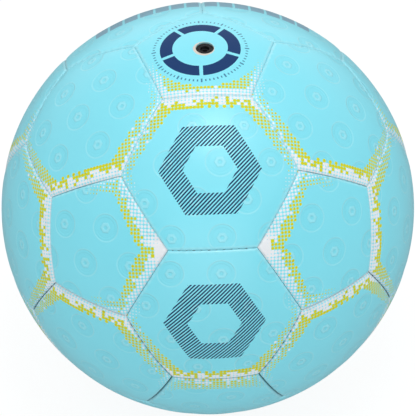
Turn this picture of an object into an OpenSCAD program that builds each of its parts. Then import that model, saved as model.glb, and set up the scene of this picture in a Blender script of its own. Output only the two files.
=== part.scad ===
// Stitched handball, size 2: a rubber bladder with a needle valve inside a cover
// of 12 pentagon and 20 hexagon panels. Each panel is a skin whose edges turn down
// into the seams, with a foam pad and a woven lining bonded behind it.
// The origin is the ball's centre, and +Z points out through the valve.

/* [Ball] */
// Outside diameter of the inflated ball
ball_d = 175; // [165:0.5:190]

/* [Cover panels] */
// Thickness of a panel's outer skin
skin_t = 1.2; // [0.8:0.1:1.6]
// Thickness of the foam pad behind the skin
foam_t = 1.8; // [1:0.1:3]
// Thickness of the woven lining behind the foam
lining_t = 1.2; // [0.8:0.1:2]
// Radius of a panel's rounded edge
edge_r = 1.2; // [0.8:0.1:1.8]
// Width of the seam between two turned-down edges
seam_w = 0.5; // [0.4:0.05:0.8]

/* [Stitching] */
// Clearance between the thread and each turned-down edge
thread_clear = 0.02; // [0.01:0.01:0.05]
// Depth of the thread's centre below the ball's surface
thread_depth = 1.6; // [1.3:0.1:2.4]
// Length of seam left free of thread at each corner
corner_free = 1.5; // [1:0.1:3]

/* [Bladder] */
// Thickness of the bladder's wall
bladder_t = 1; // [0.7:0.1:1.5]
// Radius of the patch glued over the valve's base
patch_r = 14; // [12:0.5:17]
// Thickness of the patch
patch_t = 0.6; // [0.4:0.1:0.7]

/* [Valve] */
// Radius of the valve's neck, which shows in the cover
neck_r = 3.7; // [3.4:0.1:4.5]
// Clearance round the neck in the skin's hole
neck_clear = 0.3; // [0.1:0.1:0.6]
// Depth of the neck's face below the ball's surface
neck_sunk = 0.5; // [0.2:0.1:1]
// Rounding of the neck's rim
rim_r = 0.5; // [0.3:0.1:0.8]
// Radius of the mouth in the neck's face
mouth_r = 1.8; // [1.6:0.1:2.1]
// Depth of the mouth down to the core
mouth_depth = 1.4; // [1:0.1:2]
// Radius of the flange bonded inside the bladder
flange_r = 11; // [9:0.5:11.5]
// Thickness of the flange
flange_t = 1.3; // [1:0.1:2]
// Length of the housing below the flange
housing_below = 6; // [4:0.5:8]
// Thickness of the housing's floor
floor_t = 1; // [0.8:0.1:1.5]
// Radius of the soft core inside the housing
core_r = 2.5; // [2.3:0.1:2.8]
// Radius of the needle's channel through the core
needle_r = 1.1; // [0.9:0.05:1.2]

/* [Hidden] */
ball_r = ball_d / 2;
foam_r = ball_r - skin_t;
lining_r = foam_r - foam_t;
bladder_r = lining_r - lining_t;
bladder_in_r = bladder_r - bladder_t;
reach = ball_d;
ball_fn = 256;
thread_r = seam_w / 2 - thread_clear;

// A truncated icosahedron's edge as a share of its corner radius.
edge_share = 4 / sqrt(58 + 18 * sqrt(5));
// Half the angle that a seam spans at the ball's centre.
seam_half = asin(edge_share / 2);
// Angle from a panel's middle to the middle of its seams.
pentagon_tilt = tilt_of(5);
hexagon_tilt = tilt_of(6);

// Polar angles of the rings of panels, from the valve down to the equator.
top_hexagons = pentagon_tilt + hexagon_tilt;
upper_pentagons = atan(2);
upper_hexagons = top_hexagons + 2 * hexagon_tilt;
turn = 360;
step = turn / 5;
// The rings turn by half a step so that a hexagon faces -Y.
first = step / 4;

// Each ring: name, sides, polar angle, first azimuth, panels, turn of the pentagon.
RINGS = [
    ["pentagon_valve", 5, 0, first + turn / 2, 1, 0],
    ["hexagon_top", 6, top_hexagons, first + step / 2, 5, 0],
    ["pentagon_upper", 5, upper_pentagons, first, 5, 0],
    ["hexagon_upper", 6, upper_hexagons, first + step / 2, 5, 0],
    ["hexagon_lower", 6, turn / 2 - upper_hexagons, first, 5, 0],
    ["pentagon_lower", 5, turn / 2 - upper_pentagons, first + step / 2, 5, turn / 2],
    ["hexagon_base", 6, turn / 2 - top_hexagons, first, 5, 0],
    ["pentagon_base", 5, turn / 2, first + turn / 2 + step / 2, 1, turn / 2],
];
VALVE = 0;
HEXAGON_TOP = 1;
PENTAGON_UPPER = 2;
HEXAGON_UPPER = 3;
HEXAGON_LOWER = 4;
PENTAGON_LOWER = 5;
HEXAGON_BASE = 6;
BASE = 7;

// Each group of sewn seams: name, then pairs of a ring and the edges that it sews.
ALL_EDGES = [0, 1, 2, 3, 4];
SEAMS = [
    ["seam_valve_panel", [[VALVE, ALL_EDGES]]],
    ["seam_top_hexagons", [[HEXAGON_TOP, [0, 2]]]],
    ["seam_upper_pentagons", [[PENTAGON_UPPER, ALL_EDGES]]],
    ["seam_equator", [[HEXAGON_UPPER, [1, 5]]]],
    ["seam_lower_pentagons", [[PENTAGON_LOWER, ALL_EDGES]]],
    ["seam_base_hexagons", [[HEXAGON_BASE, [1, 3]]]],
    ["seam_base_panel", [[BASE, ALL_EDGES]]],
];

function cover_name(ring, i) =
    ring[4] == 1 ? str("cover_", ring[0]) : str("cover_", ring[0], "_", i + 1);
function sides_of(ring) = ring[1];
function tilt_of(sides) =
    let (corner = edge_share / (2 * sin(180 / sides)))
    atan(corner * cos(180 / sides) / sqrt(1 - corner * corner));

// Puts what is modelled round +Z at a panel's place on the ball.
module at_panel(ring, i) {
    rotate([0, ring[2], ring[3] + i * step])
        rotate([0, 0, ring[5]])
            children();
}

// Turns +X to the outward normal of a panel's edge, with the edge's middle over +Z.
// Hexagons have an edge towards +X, and pentagons a corner towards -X.
module at_edge(sides, edge) {
    from = sides == 6 ? 0 : 180 + 180 / sides;
    rotate([0, 0, from + edge * turn / sides])
        rotate([0, tilt_of(sides), 0])
            children();
}

// A ball whose poles and seam line lie off the panel that is modelled round +Z.
module round_body(radius) {
    rotate([0, 90, 0])
        sphere(r = radius, $fn = ball_fn);
}

// All that lies beyond a panel's edge, with the corner that rounds the edge.
// The rounding meets the seam's wall and the ball's surface at a small angle.
module edge_cutter() {
    meet = 12;
    sunk = edge_r * cos(meet);
    middle_z = -seam_w / 2 - sunk;
    middle_r = sqrt(pow(ball_r - sunk, 2) - pow(middle_z, 2));
    outward = atan2(middle_z, middle_r) + meet / 2;
    upward = 90 - meet / 2;
    far = 3 * edge_r;
    rotate([0, 90, 0])
        rotate_extrude($fn = ball_fn) {
            translate([0, -seam_w / 2])
                square([reach, reach]);
            translate([middle_r, middle_z])
                difference() {
                    polygon([
                        [0, 0],
                        far * [cos(outward), sin(outward)],
                        far * [1, 1],
                        far * [cos(upward), sin(upward)],
                    ]);
                    circle(r = edge_r, $fn = 48);
                }
        }
}

// The part of a ball that lies inside a panel's edges, set back from the seams.
module panel_block(sides, radius, set_back) {
    difference() {
        round_body(radius);
        for (edge = [0 : sides - 1])
            at_edge(sides, edge)
                translate([-seam_w / 2 - set_back, -reach / 2, -reach / 2])
                    cube(reach);
    }
}

// The cover's full shell down to the bladder, cut along a panel's edges in turn.
module rounded_block(sides, edges) {
    difference() {
        if (edges == 0)
            round_body(ball_r);
        else
            rounded_block(sides, edges - 1);
        if (edges == 0)
            round_body(bladder_r);
        else
            at_edge(sides, edges - 1)
                edge_cutter();
    }
}

// The outer skin, with its rounded and turned-down edges. Foam and lining fill it.
module skin(sides) {
    difference() {
        rounded_block(sides, sides);
        panel_block(sides, foam_r, skin_t);
    }
}

// One layer behind the skin, between two radii.
module layer(sides, outer_r, inner_r) {
    difference() {
        panel_block(sides, outer_r, skin_t);
        round_body(inner_r);
    }
}

module valve_hole(radius) {
    cylinder(r = radius, h = reach, $fn = 96);
}

module cover_panel(ring, i) {
    color("paleturquoise")
        at_panel(ring, i)
            difference() {
                skin(sides_of(ring));
                if (ring == RINGS[VALVE])
                    valve_hole(neck_r + neck_clear);
            }
}

module foam_pads(ring) {
    color("ivory")
        for (i = [0 : ring[4] - 1])
            at_panel(ring, i)
                difference() {
                    layer(sides_of(ring), foam_r, lining_r);
                    if (ring == RINGS[VALVE])
                        valve_hole(neck_r + neck_clear);
                }
}

module lining_pads(ring) {
    color("gainsboro")
        for (i = [0 : ring[4] - 1])
            at_panel(ring, i)
                difference() {
                    layer(sides_of(ring), lining_r, bladder_r);
                    if (ring == RINGS[VALVE]) {
                        valve_hole(neck_r + neck_clear);
                        patch_blank(patch_r + neck_clear);
                    }
                }
}

// The thread that closes one seam, lying between the two turned-down edges.
module seam_thread() {
    run_r = ball_r - thread_depth;
    half = seam_half - corner_free / run_r * 180 / PI;
    rotate([0, 90, 0])
        rotate([0, 0, 180 - half])
            rotate_extrude(angle = 2 * half, $fn = ball_fn)
                translate([run_r, 0])
                    circle(r = thread_r, $fn = 24);
}

module seam(group) {
    color("white")
        for (part = group[1], i = [0 : RINGS[part[0]][4] - 1], edge = part[1])
            at_panel(RINGS[part[0]], i)
                at_edge(sides_of(RINGS[part[0]]), edge)
                    seam_thread();
}

module bladder() {
    color("dimgray")
        difference() {
            round_body(bladder_r);
            round_body(bladder_in_r);
            valve_hole(neck_r);
        }
}

// A round piece cut from the shell just outside the bladder.
module patch_blank(radius) {
    intersection() {
        difference() {
            round_body(bladder_r + patch_t);
            round_body(bladder_r);
        }
        cylinder(r = radius, h = reach, $fn = 96);
    }
}

module valve_patch() {
    color("darkslategray")
        difference() {
            patch_blank(patch_r);
            valve_hole(neck_r);
        }
}

neck_top = ball_r - neck_sunk;
core_top = neck_top - mouth_depth;
housing_bottom = bladder_in_r - flange_t - housing_below;
core_bottom = housing_bottom + floor_t;

// The rubber housing: a neck through the cover and a flange inside the bladder.
module valve_body() {
    color("black")
        difference() {
            union() {
                translate([0, 0, housing_bottom])
                    cylinder(r = neck_r, h = neck_top - rim_r - housing_bottom, $fn = 96);
                rotate_extrude($fn = 96)
                    neck_rim();
                intersection() {
                    difference() {
                        round_body(bladder_in_r);
                        round_body(bladder_in_r - flange_t);
                    }
                    cylinder(r = flange_r, h = reach, $fn = 96);
                }
            }
            translate([0, 0, core_bottom])
                cylinder(r = core_r, h = core_top - core_bottom, $fn = 96);
            translate([0, 0, housing_bottom - floor_t])
                cylinder(r = needle_r, h = reach, $fn = 96);
            translate([0, 0, core_bottom])
                cylinder(r = mouth_r, h = reach, $fn = 96);
        }
}

// The neck's rounded rim, as an outline turned round the valve's axis.
module neck_rim() {
    translate([0, neck_top - 2 * rim_r])
        square([neck_r - rim_r, 2 * rim_r]);
    translate([0, neck_top - 2 * rim_r])
        square([neck_r, rim_r]);
    translate([neck_r - rim_r, neck_top - rim_r])
        circle(r = rim_r, $fn = 32);
}

// The soft self-sealing core, with the channel that the inflating needle opens.
module valve_core() {
    color("darkgray")
        difference() {
            translate([0, 0, core_bottom])
                cylinder(r = core_r, h = core_top - core_bottom, $fn = 96);
            translate([0, 0, housing_bottom])
                cylinder(r = needle_r, h = reach, $fn = 96);
        }
}

for (ring = RINGS, i = [0 : ring[4] - 1])
    cover_panel(ring, i);
for (ring = RINGS)
    foam_pads(ring);
for (ring = RINGS)
    lining_pads(ring);
for (group = SEAMS)
    seam(group);
bladder();
valve_patch();
valve_body();
valve_core();
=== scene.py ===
# %% [markdown]
# A stitched handball. The cover is 32 cut panels of soft synthetic leather, 20
# hexagons and 12 pentagons, sewn edge to edge and blown up tight by a bladder, with
# a rubber valve let into one pentagon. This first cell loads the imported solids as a
# fixed frame, so each piece made below goes where its solid already is.
# %% Load the fixed frame
import math
import bpy
from mathutils import Matrix, Vector


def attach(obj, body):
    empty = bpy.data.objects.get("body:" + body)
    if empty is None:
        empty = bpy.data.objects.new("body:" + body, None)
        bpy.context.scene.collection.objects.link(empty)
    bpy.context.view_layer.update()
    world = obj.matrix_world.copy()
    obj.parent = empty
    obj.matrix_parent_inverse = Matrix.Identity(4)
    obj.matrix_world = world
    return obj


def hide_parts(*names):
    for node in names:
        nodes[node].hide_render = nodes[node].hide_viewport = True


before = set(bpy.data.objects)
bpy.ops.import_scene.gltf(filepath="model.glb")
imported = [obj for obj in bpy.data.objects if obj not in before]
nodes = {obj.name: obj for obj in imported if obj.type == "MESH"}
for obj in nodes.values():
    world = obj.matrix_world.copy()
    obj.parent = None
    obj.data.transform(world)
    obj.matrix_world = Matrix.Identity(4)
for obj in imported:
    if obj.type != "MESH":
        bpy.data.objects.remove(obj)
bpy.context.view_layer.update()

# %% [markdown]
# The ball was looked at from a metre away with a long lens, from above, so the valve
# sits high in the picture. The camera is worked out from that: two angles say where
# it stands on a sphere round the ball, a small roll tilts the frame, and the lens
# follows from how many pixels wide the ball is.
# %% Camera
mm = 0.001
ball_r = 87.5 * mm
stand_off = 1.05
azimuth, elevation, roll = math.radians(-1.27), math.radians(42.6), math.radians(-1.08)
focal_px, frame_px, middle_px = 2467, 416, (207.8, 208.1)
sensor_mm = 36
back = Vector((math.cos(elevation) * math.sin(azimuth), -math.cos(elevation) * math.cos(azimuth),
               math.sin(elevation)))
level = Vector((0, 0, 1)).cross(back).normalized()
upright = back.cross(level)
right = math.cos(roll) * level + math.sin(roll) * upright
up = math.cos(roll) * upright - math.sin(roll) * level
bpy.ops.object.camera_add()
camera = bpy.context.object
turned_to_ball = Matrix((right, up, back)).transposed().to_4x4()
camera.matrix_world = Matrix.Translation(back * stand_off) @ turned_to_ball
camera.data.sensor_width = sensor_mm
camera.data.lens = sensor_mm * focal_px / frame_px
camera.data.shift_x = (frame_px / 2 - middle_px[0]) / frame_px
camera.data.shift_y = (middle_px[1] - frame_px / 2) / frame_px
camera.data.clip_end = 50
bpy.context.scene.camera = camera
print("camera at", tuple(round(v, 3) for v in camera.location), "lens", round(camera.data.lens, 1))

# %% [markdown]
# Every finish is a tree of nodes. To keep the maths readable, a small class stands
# for one number that varies over a surface. Adding or multiplying two of them adds
# the Math node that does it, so a pattern reads like the formula it is. All other
# nodes come from one method, which sets a node's options before its sockets.
# %% Numbers that vary over a surface
class Number:
    def __init__(self, finish, socket):
        self.finish, self.socket = finish, socket

    def math(self, operation, *others):
        values = dict(enumerate((self,) + others))
        return self.finish.node("Math", {"operation": operation}, values).number()

    def __add__(self, other): return self.math("ADD", other)
    def __radd__(self, other): return self.math("ADD", other)
    def __sub__(self, other): return self.math("SUBTRACT", other)
    def __rsub__(self, other): return self.math("MULTIPLY", -1).math("ADD", other)
    def __mul__(self, other): return self.math("MULTIPLY", other)
    def __rmul__(self, other): return self.math("MULTIPLY", other)
    def __truediv__(self, other): return self.math("DIVIDE", other)
    def __pow__(self, other): return self.math("POWER", other)
    def __lt__(self, other): return self.math("LESS_THAN", other)
    def __gt__(self, other): return self.math("GREATER_THAN", other)
    def __abs__(self): return self.math("ABSOLUTE")
    def floor(self): return self.math("FLOOR")
    def root(self): return self.math("SQRT")
    def sine(self): return self.math("SINE")
    def cosine(self): return self.math("COSINE")
    def least(self, other): return self.math("MINIMUM", other)
    def most(self, other): return self.math("MAXIMUM", other)
    def wrap(self, low, high): return self.math("WRAP", high, low)

    def step(self, start, end):
        """0 at start and 1 at end, with a smooth slope between."""
        return self.finish.node("MapRange", {"interpolation_type": "SMOOTHSTEP"}, {
            "Value": self, "From Min": start, "From Max": end}).number()

    def profile(self, points):
        """The height of the line through the points, at this place along it."""
        start, reach = points[0][0], points[-1][0] - points[0][0]
        tallest = max(height for _, height in points)
        stops = [((place - start) / reach, (height / tallest,) * 3) for place, height in points]
        line = self.finish.node("ValToRGB", {"stops": stops}, {"Fac": (self - start) / reach})
        return line.number() * tallest


# %% One node
class Node:
    def __init__(self, finish, node):
        self.finish, self.node = finish, node

    def number(self, name=0): return Number(self.finish, self.node.outputs[name])
    def colour(self, name=0): return self.node.outputs[name]


# %% A tree of nodes
class Tree:
    """A tree of nodes, and the few kinds of node that several finishes use."""
    def __init__(self, owner):
        owner.use_nodes = True
        self.tree = owner.node_tree

    def node(self, kind, options={}, values={}):
        made = self.tree.nodes.new("ShaderNode" + kind)
        for option, value in options.items():
            if option == "stops":
                ramp = made.color_ramp
                while len(ramp.elements) < len(value):
                    ramp.elements.new(0.5)
                for element, (place, colour) in zip(ramp.elements, value):
                    element.position = place
                for element, (place, colour) in zip(ramp.elements, value):
                    element.color = (*colour, 1)
            else:
                setattr(made, option, value)
        for socket, value in values.items():
            self.feed(made.inputs[socket], value)
        return Node(self, made)

    def feed(self, target, value):
        value = value.socket if isinstance(value, Number) else value
        if isinstance(value, bpy.types.NodeSocket):
            self.tree.links.new(value, target)
        elif target.type == "RGBA":
            target.default_value = (*value, 1) if len(value) == 3 else value
        else:
            target.default_value = value

    def mix(self, share, first, second):
        """The first colour, giving way to the second as share goes from 0 to 1."""
        return self.node("Mix", {"data_type": "RGBA"}, {0: share, 6: first, 7: second}).colour(2)

    def noise(self, size, detail=2, rough=0.5):
        """Smooth noise from 0 to 1, whose blots are about size metres across."""
        return self.node("TexNoise", {}, {
            "Vector": self.place, "Scale": 1 / size, "Detail": detail, "Roughness": rough}).number()

    def bump(self, height):
        """A normal for a surface raised by height millimetres."""
        return self.node("Bump", {}, {"Height": height, "Distance": mm, "Strength": 1}).colour()


# %% Finishes and inks
class Finish(Tree):
    """A material: one principled shader and the nodes that feed it."""
    def __init__(self, name, **constants):
        self.material = bpy.data.materials.new(name)
        super().__init__(self.material)
        self.shader = self.tree.nodes["Principled BSDF"]
        for socket, value in constants.items():
            self.shader.inputs[socket.replace("_", " ")].default_value = value
        self.place = self.node("TexCoord").colour("Object")

    def give(self, socket, value):
        self.feed(self.shader.inputs[socket], value)


def ink(red, green, blue):
    """A colour as a screen shows it, 0 to 255, in the linear light that shaders use."""
    def linear(part):
        part /= 255
        return part / 12.92 if part <= 0.04045 else ((part + 0.055) / 1.055) ** 2.4
    return tuple(linear(part) for part in (red, green, blue))


print("white is", ink(255, 255, 255))

# %% [markdown]
# The ball stands on a plain pale floor in a white studio. Most of the light comes from
# a very wide soft lamp overhead with a smaller one in its middle, so the top is
# brighter than the underside and no shade is hard. A lamp in front fills the shade,
# and the room adds light from behind and, more of it higher up, from the sides. Dark
# cards keep the sides and the floor from mirroring in the skin, which is done here
# with the ray's kind: a mirrored ray finds them dim. The camera sees the room and
# the floor white.
# %% Room, floor and lamps
bpy.context.scene.view_settings.view_transform = "Standard"
world = bpy.data.worlds.new("studio_world")
bpy.context.scene.world = world
room = Tree(world)
way = room.node("SeparateXYZ", {}, {0: room.node("TexCoord").colour("Generated")})
behind, above = way.number("Y").most(0), way.number("Z").most(0)
ray = room.node("LightPath")
seen, mirrored = ray.number("Is Camera Ray"), ray.number("Is Glossy Ray")
from_behind = behind * behind * 1.15
from_the_sides = way.number("X") ** 2 * (above * 1.5 + 0.6) * (1 - mirrored * 0.75)
background = room.tree.nodes["Background"]
room.feed(background.inputs["Color"], (1, 1, 1))
room.feed(background.inputs["Strength"], (from_behind + from_the_sides).most(seen))


def lamp(name, place, size, watts):
    """A square soft lamp that looks at the ball's middle."""
    bpy.ops.object.light_add(type="AREA", location=place)
    made = bpy.context.object
    made.name = name
    made.data.size = size
    made.data.energy = watts
    made.rotation_euler = (-Vector(place)).to_track_quat("-Z", "Y").to_euler()
    return made


lamp("overhead_softbox", place=(0, -0.2, 1.4), size=2.2, watts=10.5)
lamp("overhead_key", place=(0.1, -0.15, 1.2), size=0.4, watts=3.0)
lamp("front_fill", place=(0, -1.5, 0.5), size=1.2, watts=6.0)

# %% The floor of pale paper
bpy.ops.object.select_all(action="DESELECT")
bpy.ops.mesh.primitive_plane_add(size=6, location=(0, 0, -ball_r))
floor = bpy.context.object
floor.name = "studio_floor"
sheet = Finish("floor_paper", Roughness=0.9, Specular_IOR_Level=0.0, Emission_Strength=0.12)
sheet.give("Base Color", sheet.mix(sheet.noise(0.4), (0.71, 0.71, 0.71), (0.73, 0.73, 0.73)))
white_glow = sheet.node("Emission", {}, {"Color": (1, 1, 1), "Strength": 1.08}).colour()
dark_card = sheet.node("Emission", {}, {"Color": (0.26, 0.26, 0.26), "Strength": 1.0}).colour()
ray = sheet.node("LightPath")
seen, mirrored = ray.number("Is Camera Ray"), ray.number("Is Glossy Ray")
paper = sheet.shader.outputs[0]
for share, card in ((seen * 0.8, white_glow), (mirrored * 0.9, dark_card)):
    paper = sheet.node("MixShader", {}, {0: share, 1: paper, 2: card}).colour()
sheet.tree.links.new(paper, sheet.tree.nodes["Material Output"].inputs["Surface"])
floor.data.materials.append(sheet.material)
print("floor at", round(floor.location.z, 4))

# %% [markdown]
# The panels follow one solid: cut the corners off a ball of twenty triangles, and
# what is left is 12 pentagons and 20 hexagons whose edges are all the same length.
# So the length of an edge and the distance of a flat panel from the middle give
# every size below, and each panel's middle is one direction from the ball's middle.
# The seams are tight round the valve and more open further down, so each of three
# fits has its gap and how far the stitches pull the edge down.
# %% Sizes of the panels
edge = 4 / math.sqrt(58 + 18 * math.sqrt(5)) * ball_r
fits = {"tight": (0.03 * mm, 0.42 * mm), "loose": (0.1 * mm, 0.7 * mm), "open": (0.16 * mm, 0.95 * mm)}
skin_t = 1.2 * mm


def reach(sides):
    """From a flat panel's middle to its edge."""
    return edge / 2 / math.tan(math.pi / sides)


def lift(sides):
    """From the ball's middle to the flat panel, whose corners are on the ball."""
    return math.sqrt(ball_r ** 2 - (edge / 2 / math.sin(math.pi / sides)) ** 2)


for sides in (5, 6):
    print(sides, "sides: reach", round(reach(sides) / mm, 2), "lift", round(lift(sides) / mm, 2), "mm")

# %% Where each panel's middle is
one_in_front, one_behind = range(54, 360, 72), range(18, 360, 72)
tilt = {sides: math.atan(reach(sides) / lift(sides)) for sides in (5, 6)}
top = tilt[5] + tilt[6]
upper = top + 2 * tilt[6]
rings = {"pentagon_valve": (0, (0,)), "hexagon_top": (top, one_in_front),
         "pentagon_upper": (math.atan(2), one_behind), "hexagon_upper": (upper, one_in_front),
         "hexagon_lower": (math.pi - upper, one_behind),
         "pentagon_lower": (math.pi - math.atan(2), one_in_front),
         "hexagon_base": (math.pi - top, one_behind), "pentagon_base": (math.pi, (0,))}
middle, ring_of = {}, {}
for ring, (polar, turns) in rings.items():
    for number, turn in enumerate(turns, 1):
        name = ring if len(turns) == 1 else f"{ring}_{number}"
        ring_of[name] = ring
        turn = math.radians(turn)
        middle[name] = Vector((math.sin(polar) * math.cos(turn), math.sin(polar) * math.sin(turn),
                               math.cos(polar)))


def sides_of(name):
    return 6 if name.startswith("hexagon") else 5


print("panels:", len(middle))

# %% [markdown]
# A panel starts flat, as it is cut: a hexagon or pentagon a hair smaller than its
# place, so a seam is left open round it. Two insets give it a narrow border for the
# turned-down edge and a wider one for the soft roll beside it, and a plain
# subdivision fills these with rows. Then it is cast on to the ball, and cast again on
# to a slightly smaller ball by a weight that grows towards the edge, which rounds
# the shoulder as the stitches pull it down. A second, coarser sheet becomes the
# back, and bridging the two rims closes the panel.
# %% Helpers for shaping
def start(add, name):
    """Deselects everything, adds a primitive and names it."""
    bpy.ops.object.select_all(action="DESELECT")
    add()
    bpy.context.object.name = name
    bpy.ops.object.transform_apply(location=True, rotation=True, scale=True)
    return bpy.context.object


def apply(piece, kind, **settings):
    """Adds a modifier and applies it."""
    bpy.context.view_layer.objects.active = piece
    made = piece.modifiers.new(kind.lower(), kind)
    for setting, value in settings.items():
        setattr(made, setting, value)
    bpy.ops.object.modifier_apply(modifier=made.name)


def edit(piece):
    bpy.context.view_layer.objects.active = piece
    bpy.ops.object.mode_set(mode="EDIT")


def done():
    bpy.ops.object.mode_set(mode="OBJECT")


first_corner = {5: 0, 6: math.pi / 6}


def outline(sides, across):
    """A flat panel over the pole. At +Y a pentagon has a corner and a hexagon an edge."""
    bpy.ops.mesh.primitive_circle_add(vertices=sides, radius=across / math.cos(math.pi / sides),
                                      fill_type="NGON", location=(0, 0, lift(sides)),
                                      rotation=(0, 0, first_corner[sides]))


# %% How far the edge is pulled down
shoulder, soft_roll = 1.5 * mm, 4.0 * mm
soft_drop = 0.25 * mm


def edge_distance(x, y, sides, across):
    """How far inside the flat outline a point is."""
    half = math.pi / sides
    angle = (math.atan2(x, y) - first_corner[sides]) % (2 * half) - half
    return across - math.hypot(x, y) * math.cos(angle)


def drop(inside, edge_drop):
    """How far the stitches pull the skin down, that far inside its edge."""
    inside = max(0, inside)
    steep = max(0, 1 - inside / shoulder)
    soft = max(0, 1 - inside / (shoulder + soft_roll))
    return edge_drop * steep ** 3 + soft_drop * soft ** 2


print("drop at the edge:", {fit: round(drop(0, sizes[1]) / mm, 2) for fit, sizes in fits.items()}, "mm")

# %% Flat sheets, and how they go on to the ball
def flat_sheet(sides, across, name, borders=()):
    """A flat panel of four-sided faces, in fine rows along its edge where it has borders."""
    sheet = start(lambda: outline(sides, across), name)
    edit(sheet)
    bpy.ops.mesh.select_all(action="SELECT")
    bpy.ops.mesh.subdivide(number_cuts=1)
    for border in borders:
        bpy.ops.mesh.inset(thickness=border, depth=0)
    done()
    apply(sheet, "SUBSURF", subdivision_type="SIMPLE", levels=4, render_levels=4)
    return sheet


def cast(sheet, radius, group=""):
    """Throws a sheet on to a ball, all of it or as far as a group's weights say."""
    apply(sheet, "CAST", cast_type="SPHERE", factor=1, radius=0, use_radius_as_size=False,
          size=radius, vertex_group=group)


# %% The skin's front, with its flat pattern kept
flat_width = 100 * mm


def front_sheet(sides, across, name, edge_drop):
    front = flat_sheet(sides, across, name, borders=(shoulder, soft_roll))
    layout = front.data.uv_layers.new(name="flat_pattern")
    for loop in front.data.loops:
        x, y, _ = front.data.vertices[loop.vertex_index].co
        layout.data[loop.index].uv = (x / flat_width + 0.5, y / flat_width + 0.5)
    pull = front.vertex_groups.new(name="pulled_down")
    for point in front.data.vertices:
        inside = edge_distance(point.co.x, point.co.y, sides, across)
        pull.add([point.index], drop(inside, edge_drop) / (edge_drop + soft_drop), "REPLACE")
    cast(front, ball_r)
    cast(front, ball_r - edge_drop - soft_drop, "pulled_down")
    front.vertex_groups.clear()
    return front


# %% Whole panels
def panel_master(sides, name, gap, edge_drop):
    """A whole panel over the pole. Its print points to the corner or edge at +Y."""
    across = reach(sides) - gap / 2
    front = front_sheet(sides, across, name, edge_drop)
    back_side = flat_sheet(sides, across, name + "_back")
    cast(back_side, ball_r - skin_t)
    edit(back_side)
    bpy.ops.mesh.select_all(action="SELECT")
    bpy.ops.mesh.flip_normals()
    done()
    front.select_set(True)
    bpy.context.view_layer.objects.active = front
    bpy.ops.object.join()
    edit(front)
    bpy.ops.mesh.select_all(action="DESELECT")
    bpy.ops.mesh.select_mode(type="EDGE")
    bpy.ops.mesh.select_non_manifold()
    bpy.ops.mesh.bridge_edge_loops()
    bpy.ops.mesh.select_all(action="SELECT")
    bpy.ops.mesh.normals_make_consistent(inside=False)
    done()
    bpy.ops.object.shade_smooth_by_angle(angle=math.radians(55))
    print(name, "faces", len(front.data.polygons))
    return front


masters = {(fit, sides): panel_master(sides, f"{fit}_{sides}_sides", *sizes)
           for fit, sizes in fits.items() for sides in (5, 6)}

# %% [markdown]
# The printed pattern has a direction: on a hexagon its widest band lies along one
# edge, and on most pentagons it starts from one corner. Each panel here names the
# neighbours that its print points at. A copy of a master is turned so that its own
# +Y looks that way, and the turn is then applied, so its place is in its mesh. Two
# pentagons are printed along an edge instead. A corner is opposite, so they are
# turned the other way round.
# %% Which way each print points
points_at = {
    "hexagon_top_1": ("pentagon_upper_2",), "hexagon_top_2": ("pentagon_upper_2",),
    "hexagon_top_3": ("pentagon_upper_4",), "hexagon_top_4": ("pentagon_valve",),
    "hexagon_top_5": ("pentagon_upper_5",), "hexagon_upper_1": ("pentagon_upper_1",),
    "hexagon_upper_2": ("pentagon_upper_3",), "hexagon_upper_3": ("pentagon_upper_4",),
    "hexagon_upper_4": ("pentagon_lower_4",), "hexagon_upper_5": ("pentagon_upper_5",),
    "hexagon_lower_1": ("pentagon_lower_1",), "hexagon_lower_2": ("pentagon_lower_1",),
    "hexagon_lower_3": ("pentagon_lower_2",), "hexagon_lower_4": ("pentagon_upper_4",),
    "hexagon_lower_5": ("pentagon_upper_5",), "hexagon_base_1": ("pentagon_lower_5",),
    "hexagon_base_2": ("pentagon_lower_2",), "hexagon_base_3": ("pentagon_lower_3",),
    "hexagon_base_4": ("pentagon_base",), "hexagon_base_5": ("pentagon_base",),
    "pentagon_upper_1": ("hexagon_upper_5", "hexagon_lower_1"),
    "pentagon_upper_2": ("hexagon_upper_2", "hexagon_lower_2"),
    "pentagon_upper_3": ("hexagon_upper_3", "hexagon_lower_3"),
    "pentagon_upper_4": ("hexagon_top_4", "hexagon_upper_4"),
    "pentagon_upper_5": ("hexagon_top_4", "hexagon_upper_4"),
    "pentagon_lower_1": ("hexagon_base_1", "hexagon_base_2"),
    "pentagon_lower_2": ("hexagon_upper_2", "hexagon_lower_2"),
    "pentagon_lower_3": ("hexagon_lower_4", "hexagon_base_4"),
    "pentagon_lower_5": ("hexagon_lower_5", "hexagon_base_5"),
    "pentagon_base": ("hexagon_base_1", "hexagon_base_2"),
    "pentagon_valve": ("hexagon_top_4",), "pentagon_lower_4": ("hexagon_upper_4",)}
edge_prints = {"pentagon_valve": "valve", "pentagon_lower_4": "low"}


def print_direction(name):
    return sum((middle[target] for target in points_at[name]), Vector())


print("directions:", len(points_at), "of them along an edge:", len(edge_prints))

# %% Copies, turned to their place
def copy_of(master, name, turn):
    """A copy with its own mesh, turned by a matrix that is then applied."""
    bpy.ops.object.select_all(action="DESELECT")
    master.select_set(True)
    bpy.context.view_layer.objects.active = master
    bpy.ops.object.duplicate()
    piece = bpy.context.object
    piece.name = name
    piece.matrix_world = turn
    bpy.ops.object.transform_apply(location=True, rotation=True, scale=True)
    return piece


def facing(out, ahead):
    """The turn that takes +Z to out and +Y as near to ahead as it can be."""
    ahead = (ahead - out * ahead.dot(out)).normalized()
    return Matrix((ahead.cross(out), ahead, out)).transposed().to_4x4()


# %% Every panel in its place
top_cap = 0.7


def fit_of(name):
    """Tight on the top cap, loose down to the ball's waist and open below it."""
    height = middle[name].z
    return "tight" if height > top_cap else "loose" if height > 0 else "open"


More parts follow.
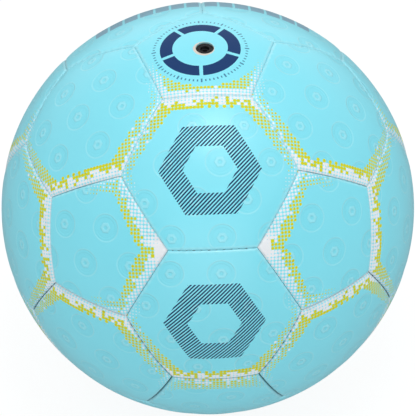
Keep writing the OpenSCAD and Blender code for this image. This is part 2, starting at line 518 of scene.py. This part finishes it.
panels = {}
for name in points_at:
    ahead = print_direction(name) * (-1 if name in edge_prints else 1)
    master = masters[fit_of(name), sides_of(name)]
    panels[name] = copy_of(master, "panel_" + name, facing(middle[name], ahead))
for master in masters.values():
    bpy.data.objects.remove(master)
print("panels placed:", len(panels))

# %% [markdown]
# Rows of round dimples were pressed into the sheet before it was cut, and the cutter
# came down anywhere among them. So each panel has a second map, shifted by where one
# dimple lies on it. The shifts of the panels at the front were measured, and the
# others follow a plain rule. On a pentagon the rows run the other way.
# %% Where the press's dimples fall on each panel
row_pitch = (19.3, 28.2)
pressed_at = {
    "hexagon_top_3": (1.3, 1.5), "hexagon_top_4": (3.7, 2.6), "hexagon_top_5": (6.6, -1.9),
    "hexagon_upper_3": (-15.0, 9.9), "hexagon_upper_4": (6.7, -6.8), "hexagon_upper_5": (4.3, 13.3),
    "hexagon_lower_4": (-2.0, 17.0), "hexagon_lower_5": (-7.3, 16.2),
    "pentagon_upper_4": (-7.7, 4.3), "pentagon_upper_5": (9.1, 6.6)}
for index, (name, piece) in enumerate(panels.items()):
    x, y = pressed_at.get(name, (index * 5 % 19 - 9, index * 11 % 28 - 14))
    piece.data.uv_layers.new(name="pressed_pattern")
    pressed = piece.data.uv_layers["pressed_pattern"].data
    for corner, flat in zip(pressed, piece.data.uv_layers["flat_pattern"].data):
        place = (flat.uv.x - 0.5 - x * mm / flat_width, flat.uv.y - 0.5 - y * mm / flat_width)
        corner.uv = place if sides_of(name) == 6 else place[::-1]
print("dimples measured on", len(pressed_at), "panels")

# %% [markdown]
# One pentagon has a hole for the valve, punched through the whole panel. A cylinder
# cuts it, and the wall that is left shows the raw edge of the layers, so it gets a
# second material.
# %% The valve's hole
hole_r = 3.7 * mm
punch = start(lambda: bpy.ops.mesh.primitive_cylinder_add(vertices=64, radius=hole_r, depth=20 * mm,
                                                          location=(0, 0, ball_r)), "punch")
valve_panel = panels["pentagon_valve"]
apply(valve_panel, "BOOLEAN", operation="DIFFERENCE", solver="EXACT", object=punch)
bpy.data.objects.remove(punch)
raw_faces = [face.index for face in valve_panel.data.polygons
             if math.hypot(*face.center[:2]) < hole_r * 1.01 and abs(face.normal.z) < 0.5]
print("raw faces round the hole:", len(raw_faces))

# %% [markdown]
# Waxed thread joins the panels' turned-down edges from inside. It lies deep in the
# groove, where it only shows as a dark dot wherever a stitch rises. One run of eleven
# stitches is drawn as a path that rises and sways, is given a round section, and is
# copied to all ninety seams. The copies of one ring are joined, as each ring is one
# piece of the model.
# %% One run of stitches
stitches, per_stitch, thread_r = 11, 4, 0.23 * mm
sunk, stitch_rise, unevenness, sway = 1.2 * mm, 0.35 * mm, 0.12 * mm, 0.1 * mm
seam_half = math.asin(edge / 2 / ball_r)
free_end = 1.5 * mm / ball_r


def stitched_run():
    path = bpy.data.curves.new("thread_run", "CURVE")
    path.dimensions = "3D"
    path.bevel_depth = thread_r
    path.bevel_resolution = 1
    path.use_fill_caps = True
    steps = stitches * per_stitch
    line = path.splines.new("POLY")
    line.points.add(steps)
    for index, point in enumerate(line.points):
        angle = (seam_half - free_end) * (2 * index / steps - 1)
        stitch = index / per_stitch
        wave = stitch * 2 * math.pi
        height = ball_r - sunk + stitch_rise * math.cos(wave) + unevenness * math.sin(stitch * 2.7)
        point.co = (sway * math.sin(wave / 2), height * math.sin(angle), height * math.cos(angle), 1)
    run = bpy.data.objects.new("thread_run", path)
    bpy.context.scene.collection.objects.link(run)
    bpy.ops.object.select_all(action="DESELECT")
    run.select_set(True)
    bpy.context.view_layer.objects.active = run
    bpy.ops.object.convert(target="MESH")
    bpy.ops.object.shade_smooth()
    return bpy.context.object


run = stitched_run()
print("faces in a run:", len(run.data.polygons))

# %% Which ring of stitches sews two panels together
seam_by_ring = {"pentagon_valve": "seam_valve_panel", "pentagon_base": "seam_base_panel",
                "pentagon_upper": "seam_upper_pentagons", "pentagon_lower": "seam_lower_pentagons",
                "hexagon_top": "seam_top_hexagons", "hexagon_base": "seam_base_hexagons",
                "hexagon_upper": "seam_equator", "hexagon_lower": "seam_equator"}
widest_neighbours = math.radians(43)


def neighbours(one, other):
    return middle[one].angle(middle[other]) < widest_neighbours


def seam_ring(one, other):
    """The first seam in the list that sews either panel."""
    pair = (ring_of[one], ring_of[other])
    return next(seam for ring, seam in seam_by_ring.items() if ring in pair)


print("between two top hexagons:", seam_ring("hexagon_top_1", "hexagon_top_2"))

# %% All ninety seams, ring by ring
threads = {}
names = sorted(middle)
for index, one in enumerate(names):
    for other in names[index + 1:]:
        if neighbours(one, other):
            out = (middle[one] + middle[other]).normalized()
            turn = facing(out, middle[one].cross(middle[other]))
            threads.setdefault(seam_ring(one, other), []).append(copy_of(run, "stitches", turn))
bpy.data.objects.remove(run)
for ring, runs in threads.items():
    bpy.ops.object.select_all(action="DESELECT")
    for piece in runs:
        piece.select_set(True)
    bpy.context.view_layer.objects.active = runs[0]
    bpy.ops.object.join()
    runs[0].name = ring.replace("seam", "stitches")
    threads[ring] = runs[0]
    print(ring, len(runs), "runs")

# %% [markdown]
# The valve is moulded rubber: a flange bonded inside the bladder, a housing for the
# soft core, and a neck that comes up through the panel. It is turned like a pot on a
# wheel: a ring of points is extruded and widened or narrowed again and again, up the
# outside, over the rounded rim, through a shallow ring in the face, into the mouth
# and down the bore, and the last ring is merged with the first.
# %% The valve's body
def turned(name, rings, vertices=64):
    """A closed shape turned through the rings, each a radius and a height in millimetres."""
    first_r, first_z = rings[0]
    piece = start(lambda: bpy.ops.mesh.primitive_circle_add(
        vertices=vertices, radius=first_r * mm, location=(0, 0, first_z * mm)), name)
    edit(piece)
    bpy.ops.mesh.select_mode(type="VERT")
    bpy.ops.mesh.select_all(action="SELECT")
    for (old_r, old_z), (new_r, new_z) in zip(rings, rings[1:] + rings[:1]):
        bpy.ops.mesh.extrude_region_move(TRANSFORM_OT_translate={"value": (0, 0, (new_z - old_z) * mm)})
        bpy.ops.transform.resize(value=(new_r / old_r, new_r / old_r, 1), center_override=(0, 0, 0))
    bpy.ops.mesh.select_all(action="SELECT")
    bpy.ops.mesh.remove_doubles(threshold=0.002 * mm)
    bpy.ops.mesh.normals_make_consistent(inside=False)
    done()
    bpy.ops.object.shade_smooth_by_angle(angle=math.radians(40))
    return piece


def arc(middle_r, middle_z, radius, start_turn, end_turn, steps):
    """Points on an arc of a section, angles in degrees from straight out."""
    turns = [math.radians(start_turn + (end_turn - start_turn) * i / steps) for i in range(steps + 1)]
    return [(middle_r + radius * math.cos(t), middle_z + radius * math.sin(t)) for t in turns]


# %% The valve's section, in millimetres
inner_r, flange_t = 82.3, 1.3
needle_mm, core_mm, mouth_mm, neck_mm = 1.1, 2.5, 1.8, 3.6
foot_z, core_foot_z, core_top_z, top_z = 75.0, 76.0, 85.6, 87.0
groove_depth = 0.12


def ball_z(radius, out):
    return math.sqrt(radius ** 2 - out ** 2)


flange_rs = (neck_mm, 6, 8.5, 11)
section = [(needle_mm, foot_z), (neck_mm, foot_z)]
section += [(r, ball_z(inner_r - flange_t, r)) for r in flange_rs]
section += [(r, ball_z(inner_r, r)) for r in reversed(flange_rs)]
section += arc(3.1, top_z - 0.5, 0.5, 0, 90, 5)
section += [(2.9, top_z), (2.78, top_z - groove_depth), (2.62, top_z - groove_depth), (2.5, top_z)]
section += arc(2.1, top_z - 0.3, 0.3, 90, 180, 4)
section += [(mouth_mm, core_top_z), (core_mm, core_top_z),
            (core_mm, core_foot_z), (needle_mm, core_foot_z)]
valve = turned("valve_neck", section)
print("valve faces:", len(valve.data.polygons))

# %% [markdown]
# The skin is printed before it is cut. Its dots sit on a square grid that lines up
# with the panel, 25 to an edge, and each dot is one flat spot of ink: white near the
# seam, yellow further in, smaller and smaller as the pattern dies away. So the
# finish first finds the middle of the dot that a point belongs to, asks how far that
# middle is from the panel's edges, and works out the dot's size and ink from it.
# White noise mixes the two inks. Part of it has one value for each dot and part one
# for each column, so a few dots in a column tend to share an ink, as on the ball.
# %% Sizes of the print, in millimetres
in_mm = 1 / mm
edge_mm, reach_mm = edge * in_mm, {sides: reach(sides) * in_mm for sides in (5, 6)}
corner_mm = edge_mm / 2 / math.sin(math.pi / 5)
dot_pitch = edge_mm / 25
dot_blur, smallest_dot = 0.07, 0.05
print("dot pitch", round(dot_pitch, 3), "mm")


def slant(x, y, degrees):
    """How far (x, y) lies along a direction, by its angle from +X."""
    return x * math.cos(math.radians(degrees)) + y * math.sin(math.radians(degrees))


def length(x, y):
    return (x * x + y * y).root()


def zone(distance, width, size, white):
    """A strip of dots along an edge: their size and their chance of white, or 0 outside."""
    within = distance < width
    return within * size, within * white


# %% The grid of dots
dot_share, column_share = 0.55, 0.45
middling_white, white_shrinks = 0.4, {"hexagon": -0.25, "corner": -0.2}


def dots(skin, x, y, top, kind):
    """How much ink is here, and whether it is white."""
    column, row = x / dot_pitch, (y - top) / dot_pitch
    middle_x, middle_y = column.floor() + 0.5, row.floor() + 0.5
    spot = skin.node("CombineXYZ", {}, {0: middle_x, 1: middle_y, 2: 0.5}).colour()
    noise = skin.node("TexWhiteNoise", {"noise_dimensions": "3D"}, {"Vector": spot})
    in_column = skin.node("TexWhiteNoise", {"noise_dimensions": "1D"}, {"W": middle_x})
    chance = noise.number("Value") * dot_share + in_column.number("Value") * column_share
    luck = skin.node("SeparateXYZ", {}, {0: noise.colour("Color")}).number("Y")
    zones = layouts[kind](abs(middle_x) * dot_pitch, middle_y * dot_pitch + top, luck)
    size, white = zones[0]
    for other_size, other_white in zones[1:]:
        size, white = size.most(other_size), white.most(other_white)
    is_white = chance < white
    size = size * (1 + is_white * (white - middling_white) * white_shrinks.get(kind, 0))
    away = length(column - middle_x, row - middle_y)
    return away.step(size + dot_blur, size - dot_blur) * (size > smallest_dot), is_white


# %% [markdown]
# There are four layouts. A layout is given where a dot is and a random number from 0
# to 1, its luck, and gives back its zones. Each zone is a strip along one edge of the
# panel, and the profiles say how wide it is, how big its dots are and how often they
# are white, by the distance along the edge or in from it.
# %% Hexagons: a band along one edge
def hexagon_print(x, y, luck):
    """A solid band along the top edge, dying away down the two sides."""
    r = reach_mm[6]
    side, low = r - slant(x, y, 30), r - slant(x, y, -30)
    down_side = slant(x - edge_mm / 2, y - r, -60)
    down_low = slant(x - edge_mm, y, -120)
    row = (r - y) / dot_pitch
    gap_in_last_row = (row > 3.6) * (luck > 0.6)
    side_width = down_side.profile([(0, 7.4), (12, 5.6), (24, 4.4), (36, 3.0)])
    low_width = down_low.profile([(0, 4.2), (12, 3.4), (20, 2.8)])
    return [
        zone(row, 4.6, 0.53 * (1 - gap_in_last_row),
             row.profile([(0, 1), (1.1, 0.76), (2.1, 0.52), (3.1, 0.36), (4.1, 0.3), (5, 0.3)])),
        zone(side, side_width, down_side.profile([(0, 0.5), (10, 0.43), (20, 0.35), (36, 0.24)]),
             (side / side_width).profile([(0, 0.9), (0.18, 0.8), (0.28, 0.25), (0.6, 0.1), (1, 0.03)])),
        zone(low, low_width, down_low.profile([(0, 0.22), (6, 0.17), (11, 0.1), (12, 0)]),
             down_low.profile([(0, 0.3), (6, 0.8), (12, 1)]))]


# %% Most pentagons: a corner
def corner_print(x, y, luck):
    """A white corner with yellow beyond it, dying away along the next edges."""
    side, low = reach_mm[5] - slant(x, y, 54), reach_mm[5] - slant(x, y, -18)
    down_side = slant(x, y - corner_mm, -36)
    next_x, next_y = (corner_mm * part(math.radians(18)) for part in (math.cos, math.sin))
    down_low = slant(x - next_x, y - next_y, -108)
    side_width = down_side.profile([(0, 9.6), (12, 8.8), (24, 7), (36, 4.4)])
    low_width = down_low.profile([(0, 6), (12, 5), (22, 4)])
    solid = down_side.profile([(0, 0.4), (4.5, 0.3), (8, 0.04), (9, 0), (36, 0)]) * (side < 4.4)
    size = solid + down_side.profile([(0, 0.46), (24, 0.42), (30, 0.33), (36, 0.24)])
    inward = side / side_width * down_side.profile([(0, 0.8), (9, 0.88), (16, 1), (36, 1)])
    return [
        zone(side, side_width, size,
             inward.profile([(0, 1), (0.3, 1), (0.42, 0.65), (0.6, 0.35), (0.72, 0.08), (1, 0.02)])),
        zone(low, low_width, down_low.profile([(0, 0.4), (7, 0.28), (14, 0.16), (18, 0)]),
             (low / low_width).profile([(0, 0.8), (0.4, 0.6), (0.55, 0.2), (1, 0.1)]))]


# %% Two pentagons: an edge
clear_r = 20.2


def valve_print(x, y, luck):
    """Dots between the top edge and a clear circle, which is a little off the middle."""
    out = length(x - 1, y + 0.4)
    close = (reach_mm[5] - y).least(reach_mm[5] - slant(x, y, 18))
    size = (y / out).profile([(-1, 0), (0.18, 0), (0.35, 0.14), (0.58, 0.28), (0.81, 0.42), (1, 0.46)])
    white = close.profile([(0, 1), (1.4, 1), (2.6, 0.6), (3.8, 0.1), (12, 0.04), (30, 0.04)])
    return [zone(clear_r - out, 0, size, white)]


def low_print(x, y, luck):
    """Dots in all columns along the top edge, smaller away from it and towards its ends."""
    row = (reach_mm[5] - y) / dot_pitch
    ends = (x / (edge_mm / 2)) ** 4
    size = (row - ends * 2.5).profile(
        [(-2.5, 0.25), (0, 0.36), (1.6, 0.45), (3.2, 0.38), (5.0, 0.26), (5.2, 0)])
    white = row.profile([(0, 0.62), (1, 0.52), (2, 0.42), (3, 0.2), (9, 0.1)])
    return [zone(row, 8.2, size * (1 - ends * 0.5).most(0), white)]


layouts = {"hexagon": hexagon_print, "corner": corner_print, "valve": valve_print, "low": low_print}
print("layouts:", list(layouts))

# %% [markdown]
# Three plain marks are printed over the blue: a hatched ring on the two hexagons at
# the front and their twins behind, a dial of five parts with fine ticks round the
# valve, and a row of plain bars across the two hexagons behind the valve.
# %% The hatched ring
def between(number, low, high):
    return (number > low) * (number < high)


hatch_pitch, hatch_line, hatch_blur = 1.08, 0.59, 0.08
ring_inner, ring_outer = 8.6, 16.6


def hatched_ring(x, y, out):
    """A six-sided ring filled with slanting lines."""
    line = slant(x, y, -45).wrap(0, hatch_pitch)
    line = line.step(hatch_line + hatch_blur / 2, hatch_line - hatch_blur / 2) * line.step(0, hatch_blur)
    return between(out, ring_inner, ring_outer) * line


# %% The dial round the valve
dial_x, dial_y = 1.8, -0.7
dial_inner, dial_outer, dial_parts, dial_gap = 10.6, 15.6, 5, 0.7


def strokes(out, turn, count, inner, outer, half_width):
    """Short strokes in a ring, count of them all the way round."""
    aside = abs(turn.wrap(-math.pi / count, math.pi / count)) * out
    return between(out, inner, outer) * (aside < half_width)


def dial(x, y):
    """A ring in five parts, and fine ticks outside it."""
    x, y = x - dial_x, y - dial_y
    out, turn = length(x, y), x.math("ARCTAN2", y)
    gap = abs(out * turn.wrap(-math.pi / dial_parts, math.pi / dial_parts).sine())
    ring = between(out, dial_inner, dial_outer) * (gap > dial_gap)
    fine, long = strokes(out, turn, 72, 17.6, 18.6, 0.26), strokes(out, turn, 12, 17.2, 19.0, 0.32)
    return ring, fine.most(long)


# %% The bars behind it
bar_pitch, bar_width, bar_height, first_bar = 6.3, 5.3, 15, 3.9
bars_up, dots_end = 0.9, -8


def bars(x, y, twin, rise):
    """A row of plain upright bars that runs on over the seam to the twin panel."""
    from_seam, upward = reach_mm[6] - slant(x, y, twin), slant(x, y, rise)
    aside = abs((from_seam - first_bar).wrap(-bar_pitch / 2, bar_pitch / 2))
    return (abs(upward - bars_up) < bar_height / 2) * between(from_seam, 1, 45) * (aside < bar_width / 2)


# %% [markdown]
# The skin itself is polyurethane on foam. Pressed into it are round dimples in two
# shallow steps with a small six-sided boss in the middle, in staggered columns, and
# the stitches pull little puckers into the edge. The valve's panel has no dimples.
# All this is a few tenths of a millimetre deep, too fine for the mesh, so it is a
# height that a Bump node turns into light and shade, together with the skin's fine
# grain. The skin has a clear coat that smooths over the dimples, and the inks are
# printed on top of it, so they are duller and have no coat. Along each edge the blue
# is painted paler, a painted highlight, and in the grooves low on the ball the edge
# is painted darker, a painted shade.
# %% Reading a panel's two maps
def map_place(skin, name):
    """Where a point is on one of the panel's maps, in millimetres."""
    place = skin.node("SeparateXYZ", {}, {0: skin.node("UVMap", {"uv_map": name}).colour()})
    return [place.number(axis) * (flat_width * in_mm) for axis in ("X", "Y")]


def dimples(skin):
    """How far out from the nearest dimple's middle a point is, and its boss."""
    across, along = map_place(skin, "pressed_pattern")
    out, boss = [], []
    for shift in (0, 0.5):
        x = abs((across / row_pitch[0] - shift).wrap(-0.5, 0.5)) * row_pitch[0]
        y = abs((along / row_pitch[1] - shift).wrap(-0.5, 0.5)) * row_pitch[1]
        out.append(length(x, y))
        boss.append(slant(x, y, 30).most(y))
    six = boss[0].least(boss[1])
    return out[0].least(out[1]), six.step(2.1, 1.6) * six.step(0.5, 1.0)


def edge_place(x, y, sides, kind):
    """How far out towards the nearest edge a point is, and how far along that edge."""
    half = math.pi / sides
    shift = 0 if kind == "corner" else half
    out, beside = length(x, y), (x.math("ARCTAN2", y) - shift).wrap(0, 2 * half) - half
    return out * beside.cosine(), out * beside.sine()


# %% The skin's relief, with heights in millimetres
boss_height, dip_depth, inner_dip_depth, pucker_depth = 0.2, 0.2, 0.1, 0.12


def relief(skin, out, boss, inside, along):
    """All of the skin's relief, as a normal."""
    pressed = boss * boss_height - out.step(5.45, 4.9) * dip_depth - out.step(4.3, 3.8) * inner_dip_depth
    pull = (along * (2 * math.pi * stitches / edge_mm)).cosine() * inside.step(2.4, 0.2)
    grain = skin.noise(0.55 * mm, 3, 0.6) * 0.012 + skin.noise(6 * mm, 2) * 0.05
    return skin.bump(pressed * inside.step(0.4, 1.6) - pull * pucker_depth + grain)


# %% Inks and tints
sky, pale_sky_and_edge_highlight, deep_sky = ink(132, 233, 250), ink(176, 241, 252), ink(121, 225, 243)
white_ink, yellow_ink = ink(236, 239, 243), ink(213, 213, 2)
hatch_ink, dial_ink, tick_ink = ink(2, 44, 92), ink(4, 54, 108), ink(40, 124, 162)
bar_ink, raw_edge, painted_groove_shade = ink(110, 168, 192), ink(216, 208, 196), ink(28, 92, 106)


def unprinted(skin, dip, boss, inside):
    """The blue of the skin: deeper in the dimples, paler on rims, and paler along the edge as a painted
    highlight.
    """
    rim = dip.step(5.8, 5.4) * dip.step(4.8, 5.2)
    tint = skin.mix(skin.noise(25 * mm), sky, tuple(part * 0.95 for part in sky))
    tint = skin.mix(dip.step(5.2, 4.7) * 0.4, tint, deep_sky)
    # Along the edge the paler blue is a painted highlight.
    return skin.mix(boss.most(rim * 0.8).most(inside.step(1.8, 0.6)) * 0.4, tint, pale_sky_and_edge_highlight)


# %% The printed skin
no_dimples = 100


def cover_finish(name, sides, kind, mark, twin, rise):
    skin = Finish(name, Specular_IOR_Level=0.25, Coat_Roughness=0.32, Coat_IOR=1.7)
    way = -1 if kind in edge_prints.values() else 1
    x, y = ((part - flat_width * in_mm / 2) * way for part in map_place(skin, "flat_pattern"))
    flat_out, along = edge_place(x, y, sides, kind)
    inside = reach_mm[sides] - flat_out
    dip, boss = dimples(skin)
    if mark == "dial":
        dip, boss = dip + no_dimples, boss * 0
    top = {"hexagon": reach_mm[6] + 0.4 * dot_pitch, "corner": corner_mm}.get(kind, reach_mm[5])
    inked, is_white = dots(skin, x, y, top, kind)
    if mark == "bars":
        inked = inked * (slant(x, y, rise) < dots_end)
    dot_ink = skin.mix(is_white, yellow_ink, white_ink)
    colour = skin.mix(inked, unprinted(skin, dip, boss, inside), dot_ink)
    if mark == "ring":
        ring = hatched_ring(x, y, flat_out)
        colour, inked = skin.mix(ring, colour, hatch_ink), inked.most(ring)
    if mark == "dial":
        ring, ticks = dial(x, y)
        colour, inked = skin.mix(ticks, skin.mix(ring, colour, dial_ink), tick_ink), inked.most(ring)
        torn = length(x - 0.4, y - 0.3) + skin.noise(1.2 * mm) * 0.5
        colour = skin.mix(torn.step(4.45, 4.25), colour, raw_edge)
    if mark == "bars":
        colour = skin.mix(bars(x, y, twin, rise), colour, bar_ink)
    # Painted shade: the edge in the grooves is coloured darker the lower it is on the ball, where less
    # light from above reaches it.
    height = skin.node("SeparateXYZ", {}, {0: skin.place}).number("Z")
    painted_shade_mask = inside.step(0.5, 0.2) * height.step(12 * mm, -25 * mm)
    skin.give("Base Color", skin.mix(painted_shade_mask * 0.6, colour, painted_groove_shade))
    skin.give("Roughness", 0.32 + skin.noise(3 * mm) * 0.08 + inked * 0.15)
    skin.give("Coat Weight", ((1 - inked) * 0.6).most(inside.step(1.8, 0.5)))
    skin.give("Normal", relief(skin, dip, boss, inside, along))
    return skin.material


# %% Which finish each panel gets
marks = {"hexagon_top_4": "ring", "hexagon_upper_4": "ring", "hexagon_upper_2": "ring",
         "hexagon_lower_2": "ring", "pentagon_valve": "dial", "hexagon_top_1": "bars",
         "hexagon_top_2": "bars"}
twins = {"hexagon_top_1": "hexagon_top_2", "hexagon_top_2": "hexagon_top_1"}


def toward(name, other):
    """The direction of another panel on a panel's own print, as an angle from +X."""
    flat = facing(middle[name], print_direction(name)).to_3x3().transposed() @ middle[other]
    return round(math.degrees(math.atan2(flat.y, flat.x)))


finishes = {}
for name, piece in panels.items():
    sides = sides_of(name)
    kind = edge_prints.get(name, "hexagon" if sides == 6 else "corner")
    mark = marks.get(name)
    twin = rise = 0
    if mark == "bars":
        twin = toward(name, twins[name])
        upward = math.sin(math.radians(toward(name, "pentagon_valve") - twin))
        rise = twin + math.copysign(90, upward)
    key = (kind, mark, twin)
    if key not in finishes:
        skin_name = "skin_" + "_".join(str(part) for part in key if part)
        finishes[key] = cover_finish(skin_name, sides, kind, mark, twin, rise)
    piece.data.materials.clear()
    piece.data.materials.append(finishes[key])
print("skins:", [made.name for made in finishes.values()])

# %% [markdown]
# The raw edge of the punched hole shows the layers of the panel: a thin blue skin,
# then pale foam and cloth.
# %% Raw edge of the hole
raw = Finish("skin_raw_edge", Roughness=0.9)
height = raw.node("SeparateXYZ", {}, {0: raw.place}).number("Z") * in_mm
fuzz = raw.noise(0.3 * mm, 4, 0.7)
layers = raw.mix(fuzz, ink(214, 204, 190), ink(176, 165, 150))
raw.give("Base Color", raw.mix((height + fuzz * 0.3).step(87.0, 87.1), layers, sky))
raw.give("Normal", raw.bump(fuzz * 0.15))
valve_panel.data.materials.append(raw.material)
for index in raw_faces:
    valve_panel.data.polygons[index].material_index = 1

# %% [markdown]
# Thread is twisted from a few strands. The twist is a slanting wave round it, and
# wax makes it a little shiny.
# %% Thread
thread = Finish("waxed_thread")
fibre = thread.noise(0.25 * mm, 4, 0.7)
thread.give("Base Color", thread.mix(fibre, ink(104, 126, 138), ink(58, 80, 94)))
thread.give("Roughness", 0.5 + fibre * 0.2)
twist = thread.node("TexWave", {"bands_direction": "DIAGONAL"}, {
    "Vector": thread.place, "Scale": 260, "Distortion": 1.0}).number(1)
thread.give("Normal", thread.bump(twist * 0.05 + fibre * 0.03))
for piece in threads.values():
    piece.data.materials.clear()
    piece.data.materials.append(thread.material)

# %% [markdown]
# Black rubber from a mould is matt, with a faint bloom of grey where it was
# stretched and handled, and a very fine grain from the tool.
# %% Rubber
def rubber(name, dark, bloom, grain_size, grain, rough):
    made = Finish(name, Specular_IOR_Level=0.35)
    cloud = made.noise(1.6 * mm, 4, 0.65)
    made.give("Base Color", made.mix(cloud.step(0.45, 0.85), dark, bloom))
    made.give("Roughness", rough + cloud * 0.15)
    made.give("Normal", made.bump(made.noise(grain_size, 3, 0.6) * grain))
    return made.material


valve_rubber = rubber("valve_rubber", ink(24, 24, 26), ink(64, 64, 68), 0.18 * mm, 0.03, 0.5)
valve.data.materials.append(valve_rubber)
inner_finishes = {
    "bladder": rubber("bladder_rubber", ink(34, 32, 31), ink(92, 86, 80), 0.5 * mm, 0.03, 0.55),
    "valve_patch": rubber("patch_rubber", ink(26, 26, 28), ink(70, 68, 66), 0.3 * mm, 0.05, 0.7),
    "valve_core": rubber("core_rubber", ink(40, 40, 42), ink(78, 78, 82), 0.15 * mm, 0.02, 0.45)}

# %% [markdown]
# Under each skin a pad of closed-cell foam is bonded, and behind it layers of cotton
# and polyester cloth. Foam is a mass of small round cells, and the cloth is a plain
# weave: two sets of threads that cross.
# %% Foam and cloth
foam = Finish("panel_foam", Roughness=0.85)
cells = foam.node("TexVoronoi", {}, {"Vector": foam.place, "Scale": 1 / (0.6 * mm)}).number()
foam.give("Base Color", foam.mix(cells, ink(238, 236, 228), ink(214, 210, 198)))
foam.give("Normal", foam.bump(cells * 0.12))
inner_finishes["foam"] = foam.material
cloth = Finish("panel_cloth", Roughness=0.9)
yarn_pitch = 0.9 * mm
place = cloth.node("SeparateXYZ", {}, {0: cloth.place})
wave = {axis: (place.number(axis) * (2 * math.pi / yarn_pitch)).sine() for axis in ("X", "Z", "Y")}
weave = (wave["X"] * wave["Z"]).most(wave["Y"])
cloth.give("Base Color", cloth.mix(weave.step(-1, 1), ink(190, 182, 166), ink(232, 226, 212)))
cloth.give("Normal", cloth.bump(weave * 0.06))
inner_finishes["lining"] = cloth.material

# %% [markdown]
# Last, each piece rides on the ball's one body, and the solid it stands for is hidden.
# The inner solids keep their shapes and only get their finishes.
# %% Pieces and solids
def stands_for(piece, node):
    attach(piece, "root")
    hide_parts(node)


for name, piece in panels.items():
    stands_for(piece, "cover_" + name)
for ring, piece in threads.items():
    stands_for(piece, ring)
stands_for(valve, "valve_body")
for name, solid in nodes.items():
    for start_of_name, finish in inner_finishes.items():
        if name.startswith(start_of_name):
            for slot in solid.material_slots:
                slot.material = finish
